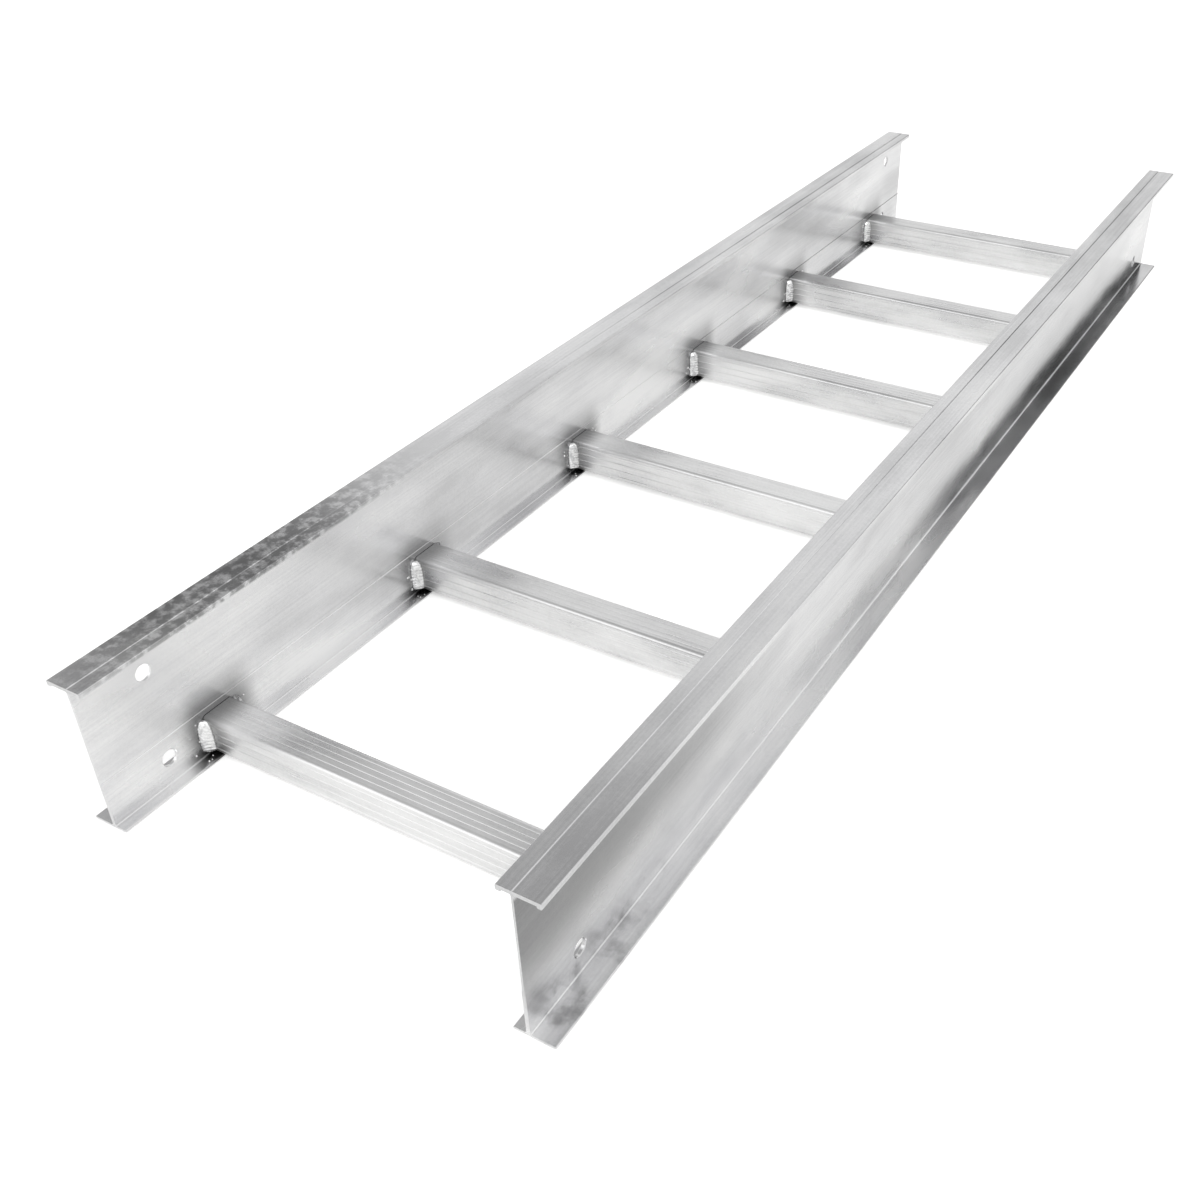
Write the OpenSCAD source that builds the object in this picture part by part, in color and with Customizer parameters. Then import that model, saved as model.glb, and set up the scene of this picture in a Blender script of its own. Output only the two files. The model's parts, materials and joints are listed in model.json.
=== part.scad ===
// Cable ladder section: two I-section side rails joined by six welded tube rungs.
// Millimetres, +Z up. X runs from rail to rail, Y runs along the rails.
// The underside of the rails is at z = 0 and the section is centred on X and Y.

/* [Section] */
// Length of the two side rails
tray_len = 1219.2; // [900:0.1:1500]
// Distance between the two rail webs, centre to centre
tray_w = 304.8; // [150:0.1:610]
// Bare rail from the near end to the first rung
near_bare = 77.2; // [65:0.1:95]
// Bare rail from the last rung to the far end
far_bare = 68.9; // [65:0.1:95]

/* [Side rail] */
// Height of the side rail
rail_h = 107; // [95:0.5:160]
// Thickness of the rail web
web_t = 2; // [1.6:0.1:3]
// Flange reach to the outside, from the web centre
flange_out = 17; // [12:0.5:30]
// Flange reach to the cable side, from the web centre
flange_in = 10; // [8:0.5:20]
// Thickness of the top flange between web and lip
cap_t = 2.6; // [2:0.1:4]
// Thickness of the lips along both edges of the top flange
lip_t = 3.9; // [3:0.1:5.5]
// Width of each lip
lip_w = 3.2; // [2:0.1:5]
// Thickness of the bottom flange
foot_t = 1.7; // [1.4:0.1:3]
// Radius of the fillets between web and flanges
fillet_r = 1.2; // [0.6:0.1:1.8]
// Edge radius on the top flange
edge_r = 0.8; // [0.4:0.1:1]
// Extra web thickness on the cable side, beside the rungs
step_t = 0.4; // [0.2:0.1:0.8]
// Height of that step above the rung tops
step_up = 4; // [2:0.5:8]
// Width of the centre line scribed along the rail top
scribe_w = 0.9; // [0.4:0.1:1.4]
// Depth of the scribed centre line
scribe_d = 0.4; // [0.2:0.1:0.8]

/* [Splice holes] */
// Bore of the splice holes
hole_d = 11.1; // [9:0.1:13]
// Centre of the holes from the rail end
hole_in = 47.6; // [25:0.1:55]
// Height of the lower hole centre
hole_low = 19.5; // [14:0.5:24]
// Height of the upper hole above the lower one
hole_rise = 67; // [50:0.5:68]
// Broken edge around each hole
hole_break = 0.35; // [0.2:0.05:0.5]

/* [Rung] */
// Width of a rung along the rails
rung_w = 25.4; // [20:0.1:40]
// Height of a rung
rung_h = 27.6; // [24:0.1:35]
// Wall of the rung tube
rung_wall = 2; // [1.5:0.1:3]
// Outer corner radius of the rung tube
corner_r = 3; // [2.5:0.1:4]
// Spacing of the grip ribs on the rung sides
rib_gap = 6.2; // [4:0.1:6.4]
// Radius of a grip rib
rib_r = 0.8; // [0.5:0.1:1]
// How far a grip rib stands out
rib_out = 0.4; // [0.2:0.05:0.45]
// Spacing of the fine grooves along the rung top
groove_gap = 4.6; // [3:0.1:5]
// Depth of the fine grooves
groove_d = 0.25; // [0.1:0.05:0.4]

/* [Fit] */
// Clearance between a rung end and the web
end_gap = 0.3; // [0.1:0.05:0.6]
// Clearance between a rung and the fillet under it
seat_gap = 0.2; // [0.1:0.05:1]

/* [Welds] */
// Reach of a weld bead over the rung and the web
weld_r = 5.6; // [4:0.1:7]
// Spacing of the ripples up a bead
weld_step = 2.6; // [2:0.1:3.2]
// Ripples in a bead
weld_n = 6; // [4:1:7]

/* [Hidden] */

$fn = 32;

rung_n = 6;
side_ribs = 4;
top_grooves = 4;
eps = 0.01;

rail_x = tray_w / 2;
// face of the thick part of the web, measured from the web centre
seat_x = web_t / 2 + step_t;
rung_z = foot_t + fillet_r + seat_gap;
rung_top = rung_z + rung_h;
step_z = rung_top + step_up;
rung_half = rail_x - seat_x - end_gap;
rung_pitch = (tray_len - near_bare - far_bare - rung_w) / (rung_n - 1);
rung_y0 = -tray_len / 2 + near_bare + rung_w / 2;
hole_y = tray_len / 2 - hole_in;
weld_mid = rung_z + rung_h / 2;

alloy = [0.80, 0.81, 0.82];
bead_grey = [0.88, 0.89, 0.90];

// Square of material with a round bite, tucked into a right-angled corner
module fillet(r) {
    difference() {
        translate([-eps, -eps])
            square(r + eps);
        translate([r, r])
            circle(r);
    }
}

// Flat strip with its four corners rounded
module strip(x0, x1, y0, y1, r) {
    translate([x0 + r, y0])
        square([x1 - x0 - 2 * r, y1 - y0]);
    translate([x0, y0 + r])
        square([x1 - x0, y1 - y0 - 2 * r]);
    for (x = [x0 + r, x1 - r], y = [y0 + r, y1 - r])
        translate([x, y])
            circle(r);
}

// Top flange: thin plate, a thicker lip along each edge, a scribed centre line
module cap_2d() {
    difference() {
        union() {
            strip(-flange_in, flange_out, rail_h - cap_t, rail_h, edge_r);
            strip(-flange_in, lip_w - flange_in, rail_h - lip_t, rail_h, edge_r);
            strip(flange_out - lip_w, flange_out, rail_h - lip_t, rail_h, edge_r);
        }
        polygon([
            [-scribe_w / 2, rail_h + eps],
            [scribe_w / 2, rail_h + eps],
            [0, rail_h - scribe_d]
        ]);
    }
}

// Web: thicker on the cable side up to the step, with a short ramp above it
module web_2d() {
    polygon([
        [-seat_x, foot_t / 2],
        [web_t / 2, foot_t / 2],
        [web_t / 2, rail_h - cap_t / 2],
        [-web_t / 2, rail_h - cap_t / 2],
        [-web_t / 2, step_z + step_t],
        [-seat_x, step_z]
    ]);
}

// Full section of a side rail, its outer side towards +X
module rail_2d() {
    strip(-flange_in, flange_out, 0, foot_t, foot_t / 2 - eps);
    cap_2d();
    web_2d();
    translate([web_t / 2, foot_t])
        fillet(fillet_r);
    translate([-seat_x, foot_t])
        mirror([1, 0])
            fillet(fillet_r);
    translate([web_t / 2, rail_h - cap_t])
        mirror([0, 1])
            fillet(fillet_r);
    translate([-web_t / 2, rail_h - cap_t])
        rotate(180)
            fillet(fillet_r);
}

// Bolt hole through the web, its edges broken on both faces
module splice_hole() {
    reach = seat_x + 1;
    rotate([0, 90, 0]) {
        cylinder(h = 2 * reach, d = hole_d, center = true);
        translate([0, 0, web_t / 2 - hole_break])
            cylinder(h = 1, d1 = hole_d, d2 = hole_d + 2);
        translate([0, 0, hole_break - seat_x - 1])
            cylinder(h = 1, d1 = hole_d + 2, d2 = hole_d);
    }
}

// Side rail about its own web centre, outer side towards +X
module side_rail() {
    difference() {
        rotate([90, 0, 0])
            linear_extrude(tray_len, center = true)
                rail_2d();
        for (y = [-hole_y, hole_y], z = [hole_low, hole_low + hole_rise])
            translate([0, y, z])
                splice_hole();
    }
}

// Outer outline of a rung with the grip ribs on both sides
module rung_outline() {
    strip(-rung_w / 2, rung_w / 2, 0, rung_h, corner_r);
    for (side = [-1, 1], i = [0 : side_ribs - 1])
        translate([
            side * (rung_w / 2 + rib_out - rib_r),
            rung_h / 2 + (i - (side_ribs - 1) / 2) * rib_gap
        ])
            circle(rib_r);
}

// Section of the rung tube
module rung_2d() {
    difference() {
        rung_outline();
        strip(
            rung_wall - rung_w / 2, rung_w / 2 - rung_wall,
            rung_wall, rung_h - rung_wall, corner_r - 1
        );
        for (i = [0 : top_grooves - 1])
            translate([(i - (top_grooves - 1) / 2) * groove_gap, rung_h + groove_d])
                circle(2 * groove_d);
    }
}

// Rung with its end faces against the thick part of both webs
module rung(i) {
    translate([0, rung_y0 + i * rung_pitch, rung_z])
        rotate([90, 0, 90])
            linear_extrude(2 * rung_half, center = true)
                rung_2d();
}

// Rippled bead: overlapping round blobs stacked up the corner
module bead() {
    for (k = [0 : weld_n - 1])
        translate([0, 0, (k - (weld_n - 1) / 2) * weld_step])
            sphere(weld_r, $fn = 24);
}

// The four beads of one rung, trimmed to the rung sides and the webs
module weld_set(i) {
    translate([0, rung_y0 + i * rung_pitch, 0])
        difference() {
            for (turn = [0, 180], side = [-1, 1])
                rotate([0, 0, turn])
                    translate([rail_x - seat_x, side * rung_w / 2, weld_mid])
                        bead();
            translate([0, 0, rung_z])
                rotate([90, 0, 90])
                    linear_extrude(2 * rail_x, center = true)
                        rung_outline();
            for (turn = [0, 180])
                rotate([0, 0, turn])
                    translate([rail_x - seat_x, -2 * rung_w, 0])
                        cube([4 * weld_r, 4 * rung_w, rail_h]);
        }
}

module side_rail_left() {
    color(alloy)
        rotate([0, 0, 180])
            translate([rail_x, 0, 0])
                side_rail();
}

module side_rail_right() {
    color(alloy)
        translate([rail_x, 0, 0])
            side_rail();
}

module rung_1() { color(alloy) rung(0); }
module rung_2() { color(alloy) rung(1); }
module rung_3() { color(alloy) rung(2); }
module rung_4() { color(alloy) rung(3); }
module rung_5() { color(alloy) rung(4); }
module rung_6() { color(alloy) rung(5); }

module welds_1() { color(bead_grey) weld_set(0); }
module welds_2() { color(bead_grey) weld_set(1); }
module welds_3() { color(bead_grey) weld_set(2); }
module welds_4() { color(bead_grey) weld_set(3); }
module welds_5() { color(bead_grey) weld_set(4); }
module welds_6() { color(bead_grey) weld_set(5); }

side_rail_left();
side_rail_right();
rung_1();
rung_2();
rung_3();
rung_4();
rung_5();
rung_6();
welds_1();
welds_2();
welds_3();
welds_4();
welds_5();
welds_6();
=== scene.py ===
import json
import math

import bpy
import numpy as np
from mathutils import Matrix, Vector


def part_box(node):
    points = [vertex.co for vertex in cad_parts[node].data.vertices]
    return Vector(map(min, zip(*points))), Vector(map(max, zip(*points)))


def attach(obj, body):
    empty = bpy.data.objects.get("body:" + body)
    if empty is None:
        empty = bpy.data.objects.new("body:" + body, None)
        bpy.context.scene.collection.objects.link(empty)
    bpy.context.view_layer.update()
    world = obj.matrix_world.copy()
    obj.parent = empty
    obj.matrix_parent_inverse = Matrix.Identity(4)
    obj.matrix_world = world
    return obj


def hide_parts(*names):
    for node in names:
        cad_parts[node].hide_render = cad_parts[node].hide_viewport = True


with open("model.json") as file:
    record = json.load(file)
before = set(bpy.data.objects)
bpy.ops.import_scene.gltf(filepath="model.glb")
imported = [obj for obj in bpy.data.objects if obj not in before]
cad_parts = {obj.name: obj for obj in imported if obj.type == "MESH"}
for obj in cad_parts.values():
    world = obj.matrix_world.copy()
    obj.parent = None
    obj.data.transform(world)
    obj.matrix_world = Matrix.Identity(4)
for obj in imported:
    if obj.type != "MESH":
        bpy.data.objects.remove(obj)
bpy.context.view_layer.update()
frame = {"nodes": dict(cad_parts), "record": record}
nodes = frame["nodes"]


# ---------------------------------------------------------------- side rails
# Two lengths of one extruded I section, its wide side turned outwards.
# 6063 aluminium left as it came off the press: the die draws fine lines along
# it, and stacking and handling leave soft grey patches. Near the first rung the
# rails also carry painted shade: a darkened upper outer face on the right rail,
# and blots that are partly painted dark reflection.

rail_low, rail_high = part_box("side_rail_right")
near_end, rail_top = rail_low.y, rail_high.z
rung_mid = [sum(c.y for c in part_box(f"rung_{k}")) / 2 for k in range(1, 7)]
rung_pitch = (rung_mid[5] - rung_mid[0]) / 5
rung_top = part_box("rung_1")[1].z
# the cable side of the web beside the rungs, and the web's middle
web_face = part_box("welds_1")[1].x
web_core = web_face + 0.0014
# how much further out the cable side lies above the rungs
web_step = 0.0004


def linear(code):
    """sRGB hex to linear colour, by the sRGB curve."""
    c = np.array([int(code[i:i + 2], 16) for i in (0, 2, 4)]) / 255
    lin = np.where(c <= 0.04045, c / 12.92, ((c + 0.055) / 1.055) ** 2.4)
    return (*map(float, lin), 1.0)


def add(tree, kind, settings=None, links=None):
    """A node of that kind, its settings by attribute or socket, its inputs linked."""
    node = tree.nodes.new(kind)
    for key, value in (settings or {}).items():
        if isinstance(key, str) and hasattr(node, key):
            setattr(node, key, value)
        else:
            node.inputs[key].default_value = value
    for key, socket in (links or {}).items():
        tree.links.new(socket, node.inputs[key])
    return node


def fade(tree, value, solid, gone):
    """1 up to solid, falling smoothly to 0 at gone."""
    return add(tree, "ShaderNodeMapRange", {
        "interpolation_type": "SMOOTHSTEP",
        "From Min": solid, "From Max": gone, "To Min": 1.0, "To Max": 0.0
    }, {"Value": value}).outputs[0]


def beyond(tree, value, edge, width):
    """0 below edge, rising smoothly to 1 a width further on."""
    return add(tree, "ShaderNodeMapRange", {
        "interpolation_type": "SMOOTHSTEP", "From Min": edge, "From Max": edge + width
    }, {"Value": value}).outputs[0]


def plus_share(tree, share, value, base):
    """base plus a share of value."""
    return add(tree, "ShaderNodeMath", {
        "operation": "MULTIPLY_ADD", 1: share}, {0: value, 2: base}).outputs[0]


def product(tree, *factors):
    """The factors multiplied together."""
    out = factors[0]
    for factor in factors[1:]:
        out = add(tree, "ShaderNodeMath", {"operation": "MULTIPLY"},
                  {0: out, 1: factor}).outputs[0]
    return out


def magnitude(tree, value):
    """The value without its sign."""
    return add(tree, "ShaderNodeMath", {"operation": "ABSOLUTE"}, {0: value}).outputs[0]


def drawn_aluminium(name, tones, along, line_mm, patch_mm, soil_and_shade, smooth):
    """Mill-finish extrusion: die lines along one axis, soft patches, fine grain.

    Each pattern's frequency is one over its size in metres. soil takes the
    tree, the split coordinates and the patch value, and gives a 0 to 1 mask,
    which darkens the colour towards 707070: soot and dulling, and on the rails
    also painted shade near the first rung.
    smooth is the roughness of the smoothest patches.
    """
    line_length, patch_stretch = 0.35, 0.35
    mat = bpy.data.materials.new(name)
    mat.use_nodes = True
    tree = mat.node_tree
    shader = tree.nodes["Principled BSDF"]
    shader.inputs["Metallic"].default_value = 1.0
    place = add(tree, "ShaderNodeTexCoord").outputs["Object"]
    xyz = add(tree, "ShaderNodeSeparateXYZ", links={0: place})
    lines = add(tree, "ShaderNodeMapping", {
        "Scale": tuple(1 / line_length if axis == along else 1000 / line_mm for axis in "XYZ")
    }, {"Vector": place})
    streak = add(tree, "ShaderNodeTexNoise", {
        "Scale": 1.0, "Detail": 4.0, "Roughness": 0.62
    }, {"Vector": lines.outputs[0]}).outputs[0]
    drift = add(tree, "ShaderNodeMapping", {
        "Scale": tuple(patch_stretch if axis == along else 1.0 for axis in "XYZ")
    }, {"Vector": place})
    patch = add(tree, "ShaderNodeTexNoise", {
        "Scale": 1000 / patch_mm, "Detail": 3.0, "Roughness": 0.55
    }, {"Vector": drift.outputs[0]}).outputs[0]
    # real grain is finer than a tenth of a millimetre; 2 mm lets it show
    grain = add(tree, "ShaderNodeTexNoise", {
        "Scale": 1000 / 2.0, "Detail": 2.0
    }, {"Vector": place}).outputs[0]
    patches = add(tree, "ShaderNodeMath", {"operation": "MULTIPLY", 1: 0.70}, {0: patch})
    tone = plus_share(tree, 0.20, streak, patches.outputs[0])
    tone = plus_share(tree, 0.10, grain, tone)
    ramp = add(tree, "ShaderNodeValToRGB", links={0: tone})
    stops = ramp.color_ramp.elements
    stops[0].position, stops[0].color = 0.38, linear(tones[0])
    stops[1].position, stops[1].color = 0.62, linear(tones[2])
    stops.new(0.50).color = linear(tones[1])
    # the mask darkens the colour towards 707070; on the rails part of that darkening is
    # painted shade
    colour = add(tree, "ShaderNodeMix", {
        "data_type": "RGBA", "blend_type": "MULTIPLY", 7: linear("707070")
    }, {0: soil_and_shade(tree, xyz, patch), 6: ramp.outputs[0]}).outputs[2]
    tree.links.new(colour, shader.inputs["Base Color"])
    rough = add(tree, "ShaderNodeMapRange", {
        "From Min": 0.35, "From Max": 0.65, "To Min": smooth, "To Max": smooth + 0.12
    }, {"Value": patch})
    tree.links.new(rough.outputs[0], shader.inputs["Roughness"])
    bump = add(tree, "ShaderNodeBump", {"Strength": 0.12, "Distance": 0.0001},
               {"Height": streak})
    tree.links.new(bump.outputs[0], shader.inputs["Normal"])
    return mat


def torch_soot(tree, xyz, patch):
    """Grey smudge on the cable side of the web round each rung end: a fade in
    the distance from the nearest rung's middle, times a fade in height."""
    shifted = add(tree, "ShaderNodeMath", {"operation": "SUBTRACT", 1: rung_mid[0]},
                  {0: xyz.outputs[1]})
    nearest = add(tree, "ShaderNodeMath", {
        "operation": "WRAP", 1: rung_pitch / 2, 2: -rung_pitch / 2
    }, {0: shifted.outputs[0]})
    inside = add(tree, "ShaderNodeMath", {"operation": "LESS_THAN", 1: web_core},
                 {0: magnitude(tree, xyz.outputs[0])})
    cloud = add(tree, "ShaderNodeMapRange", {
        "From Min": 0.34, "From Max": 0.60, "To Min": 0.40, "To Max": 1.0
    }, {"Value": patch})
    return product(tree, fade(tree, magnitude(tree, nearest.outputs[0]), 0.013, 0.036),
                   fade(tree, xyz.outputs[2], 0.022, 0.060),
                   inside.outputs[0], cloud.outputs[0])


def blots(tree, size_mm, edge):
    """Soft-edged spots of about that size."""
    spots = add(tree, "ShaderNodeTexNoise", {
        "Scale": 1000 / size_mm, "Detail": 6.0, "Roughness": 0.6
    }, {"Vector": add(tree, "ShaderNodeTexCoord").outputs["Object"]})
    return beyond(tree, spots.outputs[0], edge, 0.24)


def soot_blots_and_painted_shade(tree, xyz, patch):
    """The soot, plus marks near the first rung: small blots on the left
    rail's top, partly real dull marks and partly painted dark reflection, and on
    the right rail's outer face painted shade over the upper part, above larger
    blots along the foot that are likewise partly painted dark reflection. Each
    mark is a product of fades along, up and across."""
    x, y, z = xyz.outputs
    left = add(tree, "ShaderNodeMath", {"operation": "LESS_THAN", 1: 0.0}, {0: x})
    # small blots on the left rail's top near the first rung: partly real dull marks, partly
    # painted dark reflection
    left_top = product(tree, left.outputs[0], beyond(tree, z, rail_top - 0.0035, 0.0015),
                       beyond(tree, y, near_end - 0.05, 0.14),
                       fade(tree, y, near_end + 0.17, near_end + 0.34), blots(tree, 7, 0.34))
    outer = product(tree, beyond(tree, x, web_core + 0.0002, 0.0004),
                    fade(tree, z, rail_top - 0.0070, rail_top - 0.0035))
    # painted shade: the right rail's outer face darker over its upper part, strongest at the
    # near end and gone 0.34 m along; it stands for a dark reflection
    near_end_painted_shade = product(tree, outer, fade(tree, y, near_end + 0.04, near_end + 0.34),
                    beyond(tree, z, 0.014, 0.050))
    # larger blots along the right rail's foot at the near end: partly real dull marks, partly
    # painted dark reflection
    foot = product(tree, outer, fade(tree, y, near_end + 0.025, near_end + 0.19),
                   fade(tree, z, 0.008, 0.026), blots(tree, 24, 0.50))
    out = torch_soot(tree, xyz, patch)
    for share, mark in ((0.70, left_top), (0.72, near_end_painted_shade), (0.60, foot)):
        out = plus_share(tree, share, mark, out)
    return add(tree, "ShaderNodeMath", {"operation": "MINIMUM", 1: 1.0}, {0: out}).outputs[0]


def dress(name, material):
    """The CAD node of that name in that material alone."""
    mesh = nodes[name].data
    mesh.materials.clear()
    mesh.materials.append(material)


rail_metal = drawn_aluminium(
    "mill_finish_6063_rail", ("CCCCCD", "E1E1E2", "F1F1F1"), "Y", 1.4, 58, soot_blots_and_painted_shade, 0.17)
dress("side_rail_left", rail_metal)
dress("side_rail_right", rail_metal)


# --------------------------------------------------------------------- rungs
# Six lengths of rectangular aluminium tube with ribbed sides, cut square and
# butted to the webs. The lines run across the section, and the tube ends are
# dulled by the heat of welding.

def heat_dulled(tree, xyz, patch):
    """Dull band at both ends of a rung: a fade in the distance from its middle."""
    clear = fade(tree, magnitude(tree, xyz.outputs[0]), 0.126, 0.147)
    return add(tree, "ShaderNodeMath", {"operation": "MULTIPLY_ADD", 1: -0.55, 2: 0.55},
               {0: clear}).outputs[0]


rung_metal = drawn_aluminium(
    "mill_finish_6063_tube", ("D6D6D7", "EDEDED", "F9F9F9"), "X", 1.2, 40, heat_dulled, 0.24)
for k in range(1, 7):
    dress(f"rung_{k}", rung_metal)


# --------------------------------------------------------------- weld beads
# MIG fillet beads, four to a rung, laid upwards in the corners between rung
# and web. Each pass of the torch leaves a crescent ripple, the metal is bright,
# and a few drops of spatter stick close by.

# how far the grip ribs stand out of the tube's side, and the foot flange's top
rib_out = 0.0004
foot_top = 0.0017


def closed_strips(rows, columns):
    """Faces of a tube of rows rings, each of columns points: the strips between
    the rings, then a cap at each end."""
    r, c = np.meshgrid(np.arange(rows - 1), np.arange(columns), indexing="ij")
    a = r * columns + c
    b = r * columns + (c + 1) % columns
    sides = np.stack([a, b, b + columns, a + columns], -1).reshape(-1, 4)
    first = np.arange(columns)[::-1]
    last = np.arange(columns) + (rows - 1) * columns
    return sides.tolist() + [first.tolist(), last.tolist()]


def bead(corner_x, corner_y, out_x, out_y, low, high, rng):
    """Quarter-round bead up a corner, fuller at its foot. The radius lies between
    a flat fillet and a round one, dips in bowed ripples, and tapers to both ends."""
    rows, arc = 64, 11
    up = np.linspace(0, 1, rows)[:, None]
    turn = np.linspace(0, math.pi / 2, arc)[None, :]
    waver = 0.06 * np.sin(up * rng.uniform(5, 8) + rng.uniform(0, 6))
    size = (0.0078 - 0.0018 * up) * (1 + waver) * (1 - (2 * up - 1) ** 8 * 0.6)
    flat = 1 / (np.cos(turn) + np.sin(turn))
    phase = up * rng.uniform(9, 11) - 0.45 * np.sin(2 * turn) + rng.uniform(0, 1)
    ripple = 1 - 0.07 * (1 - np.abs(np.sin(math.pi * phase)))
    radius = size * (0.5 * flat + 0.5) * ripple
    height = low + (high - low) * up + 0 * turn
    skin = np.stack([corner_x + out_x * radius * np.cos(turn),
                     corner_y + out_y * radius * np.sin(turn), height], -1)
    root = np.stack([np.full(rows, corner_x), np.full(rows, corner_y),
                     height[:, 0]], -1)[:, None]
    return np.concatenate([skin, root], 1).reshape(-1, 3), closed_strips(rows, arc + 1)


def drop(centre, size):
    """A spatter drop: a ball, with small rings in place of its poles."""
    rings, spokes = 7, 10
    tilt, turn = np.meshgrid(np.linspace(0.12, math.pi - 0.12, rings),
                             np.arange(spokes) * math.tau / spokes, indexing="ij")
    ball = np.stack([np.sin(tilt) * np.cos(turn), np.sin(tilt) * np.sin(turn),
                     np.cos(tilt)], -1).reshape(-1, 3)
    return centre + size * ball, closed_strips(rings, spokes)


def one_piece(name, parts, material, slot, *stands_for):
    """The parts, each its points and faces, as one finished piece at the origin,
    facing outwards and riding on the section."""
    starts = np.cumsum([0] + [len(points) for points, _ in parts]).tolist()
    faces = [[i + start for i in face]
             for start, (_, part_faces) in zip(starts, parts) for face in part_faces]
    mesh = bpy.data.meshes.new(name)
    mesh.from_pydata(np.concatenate([points for points, _ in parts]).tolist(), [], faces)
    piece = bpy.data.objects.new(name, mesh)
    bpy.context.collection.objects.link(piece)
    bpy.context.view_layer.objects.active = piece
    piece.select_set(True)
    bpy.ops.object.mode_set(mode="EDIT")
    bpy.ops.mesh.select_all(action="SELECT")
    bpy.ops.mesh.normals_make_consistent(inside=False)
    bpy.ops.object.mode_set(mode="OBJECT")
    piece.select_set(False)
    mesh.shade_smooth()
    mesh.materials.append(material)
    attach(piece, "root")
    if stands_for:
        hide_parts(*stands_for)


weld_metal = bpy.data.materials.new("bright_4043_weld")
weld_metal.use_nodes = True
tree = weld_metal.node_tree
shader = tree.nodes["Principled BSDF"]
shader.inputs["Metallic"].default_value = 1.0
shader.inputs["Roughness"].default_value = 0.27
place = add(tree, "ShaderNodeTexCoord").outputs["Object"]
# clean metal with small oxide freckles about 3 mm apart
freckle = add(tree, "ShaderNodeTexNoise", {"Scale": 1000 / 3.0, "Detail": 3.0},
              {"Vector": place})
tint = add(tree, "ShaderNodeValToRGB", links={0: freckle.outputs[0]})
stops = tint.color_ramp.elements
stops[0].position, stops[0].color = 0.36, linear("CDCDCE")
stops[1].position, stops[1].color = 0.56, linear("F4F4F4")
tree.links.new(tint.outputs[0], shader.inputs["Base Color"])
crust = add(tree, "ShaderNodeBump", {"Strength": 0.25, "Distance": 0.0002},
            {"Height": freckle.outputs[0]})
tree.links.new(crust.outputs[0], shader.inputs["Normal"])

for k in range(1, 7):
    rng = np.random.default_rng(40 + k)
    low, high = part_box(f"welds_{k}")
    tube_low, tube_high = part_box(f"rung_{k}")
    parts = []
    for out_x in (-1, 1):
        for out_y, side in ((-1, tube_low.y + rib_out), (1, tube_high.y - rib_out)):
            parts.append(bead(-out_x * web_face, side, out_x, out_y,
                              low.z - 0.0006, high.z, rng))
            # five drops on the web, then three on the foot flange
            for _ in range(5):
                size = rng.uniform(0.0004, 0.0009)
                parts.append(drop(np.array([
                    -out_x * web_face, side + out_y * rng.uniform(0.0055, 0.013),
                    rng.uniform(low.z + 0.001, high.z)]), size))
            for _ in range(3):
                size = rng.uniform(0.0004, 0.0008)
                parts.append(drop(np.array([
                    -out_x * (web_face - rng.uniform(0.003, 0.008)),
                    side + out_y * rng.uniform(0.001, 0.010), foot_top]), size))
    one_piece(f"rippled_beads_{k}", parts, weld_metal, "weld_metal", f"welds_{k}")


# ---------------------------------------------------------- splice hole burrs
# The splice holes are punched, and the punch leaves a thin turned-up edge
# round each one on both faces of the web.

burr_r, burr_out = 0.00016, 0.0005
around, across = 48, 6
turn, roll = np.meshgrid(np.arange(around + 1) * math.tau / around,
                         np.arange(across) * math.tau / across, indexing="ij")
parts = []
for mount in frame["record"]["mounts"]:
    if mount["kind"] != "bolt_pattern":
        continue
    face_x, hole_y, middle_z = mount["pos_m"]
    rise = mount["dims"]["spacing_y_mm"] / 1000
    wide = mount["dims"]["hole_r_mm"] / 1000 + burr_out + burr_r * np.cos(roll)
    for hole_z in (middle_z - rise / 2, middle_z + rise / 2):
        inner = web_face if hole_z < rung_top else web_face + web_step
        for wall_x in (face_x, math.copysign(inner, face_x)):
            ring = np.stack([wall_x + burr_r * np.sin(roll), hole_y + wide * np.cos(turn),
                             hole_z + wide * np.sin(turn)], -1)
            # the last ring lies on the first, so the end caps are left off
            parts.append((ring.reshape(-1, 3), closed_strips(around + 1, across)[:-2]))
one_piece("splice_hole_burrs", parts, rail_metal, "rail_alloy")


# --------------------------------------------------------------- the studio
# A pale sweep of floor, a broad soft sky and two wide lamps, one high over the
# near end and one at the left front. The metal sees white walls, a greyer
# ceiling and two dark openings, one high at the left and one low at the far right.

white = linear("FFFFFF")
reach, floor_z = 9, -0.0004
floor_mesh = bpy.data.meshes.new("pale_floor")
floor_mesh.from_pydata([(-reach, -reach, floor_z), (reach, -reach, floor_z),
                        (reach, reach, floor_z), (-reach, reach, floor_z)],
                       [], [(0, 1, 2, 3)])
floor = bpy.data.objects.new("pale_floor", floor_mesh)
bpy.context.collection.objects.link(floor)
paper = bpy.data.materials.new("matt_white_paper")
paper.use_nodes = True
tree = paper.node_tree
tree.nodes.clear()
path = add(tree, "ShaderNodeLightPath")
mirrored = add(tree, "ShaderNodeMath", {"operation": "MULTIPLY", 1: 0.18},
               {0: path.outputs["Is Glossy Ray"]})
lift = plus_share(tree, 0.46, path.outputs["Is Camera Ray"], mirrored.outputs[0])
glow = add(tree, "ShaderNodeEmission", {"Color": white}, {"Strength": lift})
matt = add(tree, "ShaderNodeBsdfDiffuse", {"Color": linear("F3F3F2")})
both = add(tree, "ShaderNodeAddShader", links={0: glow.outputs[0], 1: matt.outputs[0]})
add(tree, "ShaderNodeOutputMaterial", links={"Surface": both.outputs[0]})
floor_mesh.materials.append(paper)

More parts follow.
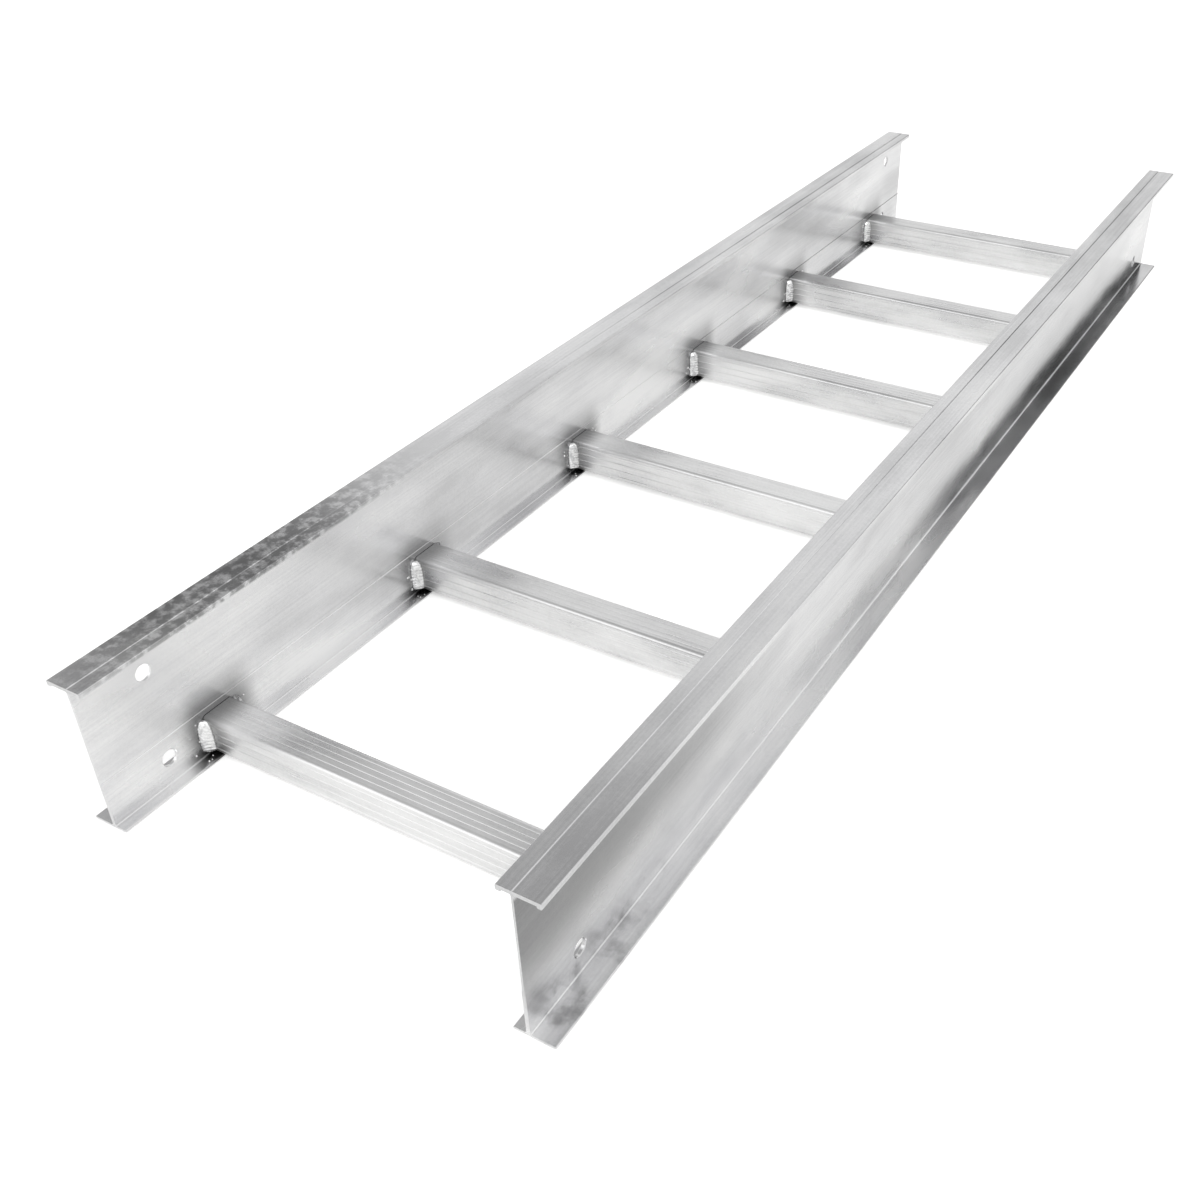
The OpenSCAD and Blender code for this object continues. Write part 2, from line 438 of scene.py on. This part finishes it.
world = bpy.data.worlds.new("soft_room")
bpy.context.scene.world = world
world.use_nodes = True
tree = world.node_tree
tree.nodes.clear()
way = add(tree, "ShaderNodeTexCoord").outputs["Generated"]
split = add(tree, "ShaderNodeSeparateXYZ", links={0: way})
belt = add(tree, "ShaderNodeValToRGB", links={0: split.outputs[2]})
stops = belt.color_ramp.elements
stops[0].position, stops[0].color = 0.05, linear("D7D7D7")
stops[1].position, stops[1].color = 1.0, linear("BBBBBB")
for height, code in ((0.30, "E0E0E0"), (0.43, "FCFCFC"), (0.60, "ECECEC"), (0.73, "AFAFAF")):
    stops.new(height).color = linear(code)
# the side the right rail faces is all bright
seen = add(tree, "ShaderNodeMix", {"data_type": "RGBA", 7: white}, {
    0: beyond(tree, split.outputs[0], -0.05, 0.27), 6: belt.outputs[0]}).outputs[2]
for heading, rim, core, depth in (((-0.70, 0.47, 0.54), 0.984, 0.998, 0.72),
                                  ((0.19, 0.90, 0.39), 0.955, 0.980, 0.97)):
    toward = add(tree, "ShaderNodeVectorMath", {
        "operation": "DOT_PRODUCT", 1: heading}, {0: way})
    gloom = add(tree, "ShaderNodeMapRange", {
        "interpolation_type": "SMOOTHSTEP",
        "From Min": rim, "From Max": core, "To Min": 0.0, "To Max": depth
    }, {"Value": toward.outputs["Value"]})
    seen = add(tree, "ShaderNodeMix", {"data_type": "RGBA", 7: linear("303030")},
               {0: gloom.outputs[0], 6: seen}).outputs[2]
path = add(tree, "ShaderNodeLightPath")
shown = add(tree, "ShaderNodeMix", {"data_type": "RGBA", 7: white},
            {0: path.outputs["Is Camera Ray"], 6: seen})
sky = add(tree, "ShaderNodeBackground", {"Strength": 1.0}, {"Color": shown.outputs[2]})
add(tree, "ShaderNodeOutputWorld", links={"Surface": sky.outputs[0]})


def soft_sun(name, energy, spread, turn):
    """A sun of that spread, turned about X, Y and Z, all in degrees."""
    lamp = bpy.data.lights.new(name, "SUN")
    lamp.energy = energy
    lamp.angle = math.radians(spread)
    stand = bpy.data.objects.new(name, lamp)
    stand.rotation_euler = tuple(math.radians(a) for a in turn)
    bpy.context.collection.objects.link(stand)


soft_sun("wide_lamp", 0.45, 25, (24, 15, 0))
# low at the left front: it draws the bright line along each rung's top edge
soft_sun("left_lamp", 0.28, 50, (58.7, 0, -40.7))

lens = bpy.data.cameras.new("camera")
lens.lens = 39.85
lens.sensor_width = 36
lens.shift_x = -0.0726
lens.shift_y = 0.0119
lens.clip_start = 0.01
camera = bpy.data.objects.new("camera", lens)
camera.location = (0.43663, -0.93760, 0.57056)
camera.rotation_euler = tuple(math.radians(a) for a in (54.324, 0.340, 29.722))
bpy.context.collection.objects.link(camera)
bpy.context.scene.camera = camera
bpy.context.scene.view_settings.view_transform = "Standard"
